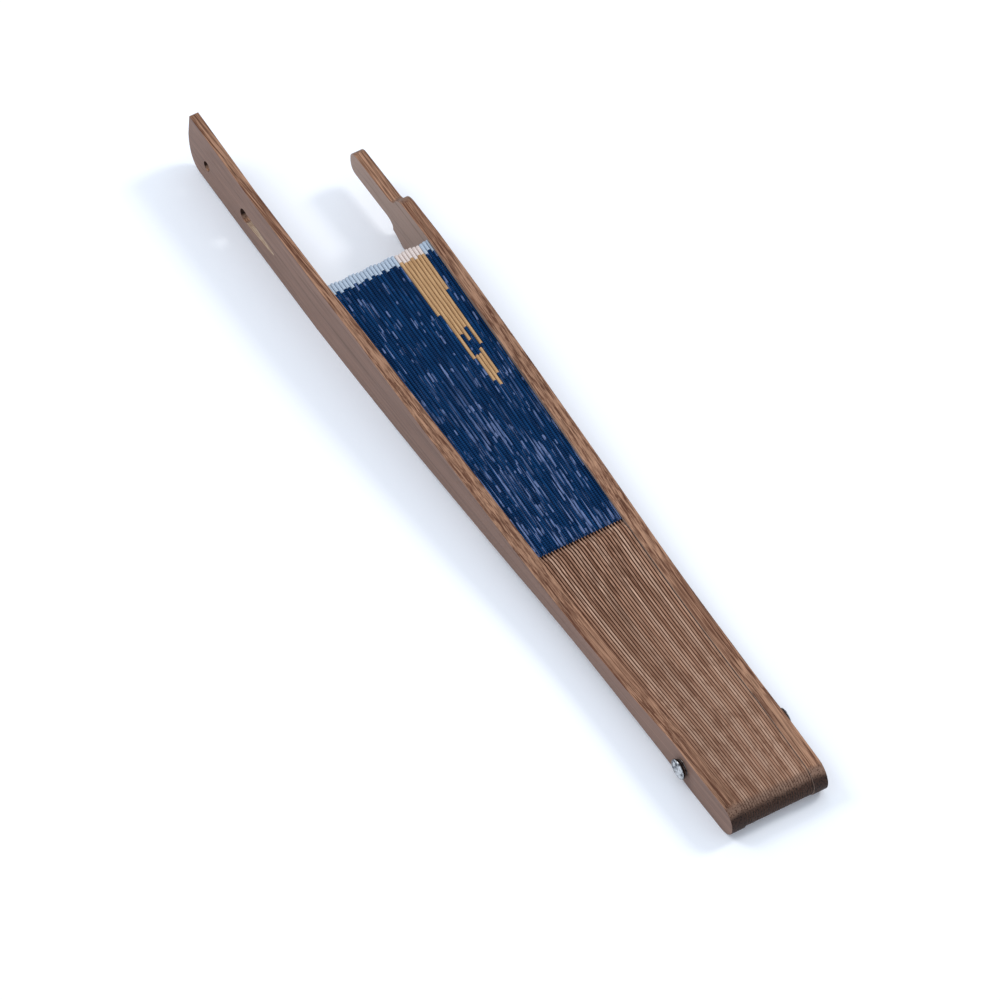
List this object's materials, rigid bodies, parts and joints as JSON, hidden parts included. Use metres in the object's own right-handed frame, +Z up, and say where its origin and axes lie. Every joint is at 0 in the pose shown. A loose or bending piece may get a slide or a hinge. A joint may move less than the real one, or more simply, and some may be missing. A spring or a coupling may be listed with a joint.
{
  "type": "folding hand fan",
  "caption": "Folding hand fan with thin bamboo ribs, two unequal wooden guards, a pleated blue woven leaf and a metal pivot rivet, closed and standing on its long edges.",
  "frame": {"origin": "on the table, under the middle of the closed fan", "axes": "+Y from the pivot towards the tips, +X across the stack of sticks from the long guard to the short guard, +Z up from the table"},
  "size_m": [0.036, 0.2586, 0.0177],
  "materials": {
    "guard_bamboo": "satin",
    "rib_bamboo": "satin",
    "leaf_cloth": "matte",
    "rivet_metal": "polished"
  },
  "bodies": {
    "short_guard": {"short_guard": "guard_bamboo", "pivot_rivet": "rivet_metal", "leaf_pleat_01": "leaf_cloth"},
    "rib_01": {"rib_01": "rib_bamboo", "leaf_pleat_02": "leaf_cloth"},
    "rib_02": {"rib_02": "rib_bamboo", "leaf_pleat_03": "leaf_cloth"},
    "rib_03": {"rib_03": "rib_bamboo", "leaf_pleat_04": "leaf_cloth"},
    "rib_04": {"rib_04": "rib_bamboo", "leaf_pleat_05": "leaf_cloth"},
    "rib_05": {"rib_05": "rib_bamboo", "leaf_pleat_06": "leaf_cloth"},
    "rib_06": {"rib_06": "rib_bamboo", "leaf_pleat_07": "leaf_cloth"},
    "rib_07": {"rib_07": "rib_bamboo", "leaf_pleat_08": "leaf_cloth"},
    "rib_08": {"rib_08": "rib_bamboo", "leaf_pleat_09": "leaf_cloth"},
    "rib_09": {"rib_09": "rib_bamboo", "leaf_pleat_10": "leaf_cloth"},
    "rib_10": {"rib_10": "rib_bamboo", "leaf_pleat_11": "leaf_cloth"},
    "rib_11": {"rib_11": "rib_bamboo", "leaf_pleat_12": "leaf_cloth"},
    "rib_12": {"rib_12": "rib_bamboo", "leaf_pleat_13": "leaf_cloth"},
    "rib_13": {"rib_13": "rib_bamboo", "leaf_pleat_14": "leaf_cloth"},
    "rib_14": {"rib_14": "rib_bamboo", "leaf_pleat_15": "leaf_cloth"},
    "rib_15": {"rib_15": "rib_bamboo", "leaf_pleat_16": "leaf_cloth"},
    "rib_16": {"rib_16": "rib_bamboo", "leaf_pleat_17": "leaf_cloth"},
    "rib_17": {"rib_17": "rib_bamboo", "leaf_pleat_18": "leaf_cloth"},
    "rib_18": {"rib_18": "rib_bamboo", "leaf_pleat_19": "leaf_cloth"},
    "rib_19": {"rib_19": "rib_bamboo", "leaf_pleat_20": "leaf_cloth"},
    "rib_20": {"rib_20": "rib_bamboo", "leaf_pleat_21": "leaf_cloth"},
    "rib_21": {"rib_21": "rib_bamboo", "leaf_pleat_22": "leaf_cloth"},
    "rib_22": {"rib_22": "rib_bamboo", "leaf_pleat_23": "leaf_cloth"},
    "rib_23": {"rib_23": "rib_bamboo", "leaf_pleat_24": "leaf_cloth"},
    "rib_24": {"rib_24": "rib_bamboo", "leaf_pleat_25": "leaf_cloth"},
    "rib_25": {"rib_25": "rib_bamboo", "leaf_pleat_26": "leaf_cloth"},
    "rib_26": {"rib_26": "rib_bamboo", "leaf_pleat_27": "leaf_cloth"},
    "rib_27": {"rib_27": "rib_bamboo", "leaf_pleat_28": "leaf_cloth"},
    "rib_28": {"rib_28": "rib_bamboo", "leaf_pleat_29": "leaf_cloth"},
    "long_guard": {"long_guard": "guard_bamboo"}
  },
  "joints": [
    {"name": "spread_01", "type": "hinge", "parent": "short_guard", "child": "rib_01", "pos_m": [-0.00035, -0.10682, 0.00502], "axis": [1, 0, 0], "range_deg": [0, 6]},
    {"name": "spread_02", "type": "hinge", "parent": "rib_01", "child": "rib_02", "pos_m": [-0.00035, -0.10682, 0.00502], "axis": [1, 0, 0], "range_deg": [0, 6]},
    {"name": "spread_03", "type": "hinge", "parent": "rib_02", "child": "rib_03", "pos_m": [-0.00035, -0.10682, 0.00502], "axis": [1, 0, 0], "range_deg": [0, 6]},
    {"name": "spread_04", "type": "hinge", "parent": "rib_03", "child": "rib_04", "pos_m": [-0.00035, -0.10682, 0.00502], "axis": [1, 0, 0], "range_deg": [0, 6]},
    {"name": "spread_05", "type": "hinge", "parent": "rib_04", "child": "rib_05", "pos_m": [-0.00035, -0.10682, 0.00502], "axis": [1, 0, 0], "range_deg": [0, 6]},
    {"name": "spread_06", "type": "hinge", "parent": "rib_05", "child": "rib_06", "pos_m": [-0.00035, -0.10682, 0.00502], "axis": [1, 0, 0], "range_deg": [0, 6]},
    {"name": "spread_07", "type": "hinge", "parent": "rib_06", "child": "rib_07", "pos_m": [-0.00035, -0.10682, 0.00502], "axis": [1, 0, 0], "range_deg": [0, 6]},
    {"name": "spread_08", "type": "hinge", "parent": "rib_07", "child": "rib_08", "pos_m": [-0.00035, -0.10682, 0.00502], "axis": [1, 0, 0], "range_deg": [0, 6]},
    {"name": "spread_09", "type": "hinge", "parent": "rib_08", "child": "rib_09", "pos_m": [-0.00035, -0.10682, 0.00502], "axis": [1, 0, 0], "range_deg": [0, 6]},
    {"name": "spread_10", "type": "hinge", "parent": "rib_09", "child": "rib_10", "pos_m": [-0.00035, -0.10682, 0.00502], "axis": [1, 0, 0], "range_deg": [0, 6]},
    {"name": "spread_11", "type": "hinge", "parent": "rib_10", "child": "rib_11", "pos_m": [-0.00035, -0.10682, 0.00502], "axis": [1, 0, 0], "range_deg": [0, 6]},
    {"name": "spread_12", "type": "hinge", "parent": "rib_11", "child": "rib_12", "pos_m": [-0.00035, -0.10682, 0.00502], "axis": [1, 0, 0], "range_deg": [0, 6]},
    {"name": "spread_13", "type": "hinge", "parent": "rib_12", "child": "rib_13", "pos_m": [-0.00035, -0.10682, 0.00502], "axis": [1, 0, 0], "range_deg": [0, 6]},
    {"name": "spread_14", "type": "hinge", "parent": "rib_13", "child": "rib_14", "pos_m": [-0.00035, -0.10682, 0.00502], "axis": [1, 0, 0], "range_deg": [0, 6]},
    {"name": "spread_15", "type": "hinge", "parent": "rib_14", "child": "rib_15", "pos_m": [-0.00035, -0.10682, 0.00502], "axis": [1, 0, 0], "range_deg": [0, 6]},
    {"name": "spread_16", "type": "hinge", "parent": "rib_15", "child": "rib_16", "pos_m": [-0.00035, -0.10682, 0.00502], "axis": [1, 0, 0], "range_deg": [0, 6]},
    {"name": "spread_17", "type": "hinge", "parent": "rib_16", "child": "rib_17", "pos_m": [-0.00035, -0.10682, 0.00502], "axis": [1, 0, 0], "range_deg": [0, 6]},
    {"name": "spread_18", "type": "hinge", "parent": "rib_17", "child": "rib_18", "pos_m": [-0.00035, -0.10682, 0.00502], "axis": [1, 0, 0], "range_deg": [0, 6]},
    {"name": "spread_19", "type": "hinge", "parent": "rib_18", "child": "rib_19", "pos_m": [-0.00035, -0.10682, 0.00502], "axis": [1, 0, 0], "range_deg": [0, 6]},
    {"name": "spread_20", "type": "hinge", "parent": "rib_19", "child": "rib_20", "pos_m": [-0.00035, -0.10682, 0.00502], "axis": [1, 0, 0], "range_deg": [0, 6]},
    {"name": "spread_21", "type": "hinge", "parent": "rib_20", "child": "rib_21", "pos_m": [-0.00035, -0.10682, 0.00502], "axis": [1, 0, 0], "range_deg": [0, 6]},
    {"name": "spread_22", "type": "hinge", "parent": "rib_21", "child": "rib_22", "pos_m": [-0.00035, -0.10682, 0.00502], "axis": [1, 0, 0], "range_deg": [0, 6]},
    {"name": "spread_23", "type": "hinge", "parent": "rib_22", "child": "rib_23", "pos_m": [-0.00035, -0.10682, 0.00502], "axis": [1, 0, 0], "range_deg": [0, 6]},
    {"name": "spread_24", "type": "hinge", "parent": "rib_23", "child": "rib_24", "pos_m": [-0.00035, -0.10682, 0.00502], "axis": [1, 0, 0], "range_deg": [0, 6]},
    {"name": "spread_25", "type": "hinge", "parent": "rib_24", "child": "rib_25", "pos_m": [-0.00035, -0.10682, 0.00502], "axis": [1, 0, 0], "range_deg": [0, 6]},
    {"name": "spread_26", "type": "hinge", "parent": "rib_25", "child": "rib_26", "pos_m": [-0.00035, -0.10682, 0.00502], "axis": [1, 0, 0], "range_deg": [0, 6]},
    {"name": "spread_27", "type": "hinge", "parent": "rib_26", "child": "rib_27", "pos_m": [-0.00035, -0.10682, 0.00502], "axis": [1, 0, 0], "range_deg": [0, 6]},
    {"name": "spread_28", "type": "hinge", "parent": "rib_27", "child": "rib_28", "pos_m": [-0.00035, -0.10682, 0.00502], "axis": [1, 0, 0], "range_deg": [0, 6]},
    {"name": "spread_29", "type": "hinge", "parent": "rib_28", "child": "long_guard", "pos_m": [-0.00035, -0.10682, 0.00502], "axis": [1, 0, 0], "range_deg": [0, 6]}
  ],
  "couplings": [
    {"joint": "spread_02", "follows": "spread_01", "ratio": 1},
    {"joint": "spread_03", "follows": "spread_01", "ratio": 1},
    {"joint": "spread_04", "follows": "spread_01", "ratio": 1},
    {"joint": "spread_05", "follows": "spread_01", "ratio": 1},
    {"joint": "spread_06", "follows": "spread_01", "ratio": 1},
    {"joint": "spread_07", "follows": "spread_01", "ratio": 1},
    {"joint": "spread_08", "follows": "spread_01", "ratio": 1},
    {"joint": "spread_09", "follows": "spread_01", "ratio": 1},
    {"joint": "spread_10", "follows": "spread_01", "ratio": 1},
    {"joint": "spread_11", "follows": "spread_01", "ratio": 1},
    {"joint": "spread_12", "follows": "spread_01", "ratio": 1},
    {"joint": "spread_13", "follows": "spread_01", "ratio": 1},
    {"joint": "spread_14", "follows": "spread_01", "ratio": 1},
    {"joint": "spread_15", "follows": "spread_01", "ratio": 1},
    {"joint": "spread_16", "follows": "spread_01", "ratio": 1},
    {"joint": "spread_17", "follows": "spread_01", "ratio": 1},
    {"joint": "spread_18", "follows": "spread_01", "ratio": 1},
    {"joint": "spread_19", "follows": "spread_01", "ratio": 1},
    {"joint": "spread_20", "follows": "spread_01", "ratio": 1},
    {"joint": "spread_21", "follows": "spread_01", "ratio": 1},
    {"joint": "spread_22", "follows": "spread_01", "ratio": 1},
    {"joint": "spread_23", "follows": "spread_01", "ratio": 1},
    {"joint": "spread_24", "follows": "spread_01", "ratio": 1},
    {"joint": "spread_25", "follows": "spread_01", "ratio": 1},
    {"joint": "spread_26", "follows": "spread_01", "ratio": 1},
    {"joint": "spread_27", "follows": "spread_01", "ratio": 1},
    {"joint": "spread_28", "follows": "spread_01", "ratio": 1},
    {"joint": "spread_29", "follows": "spread_01", "ratio": 1}
  ]
}
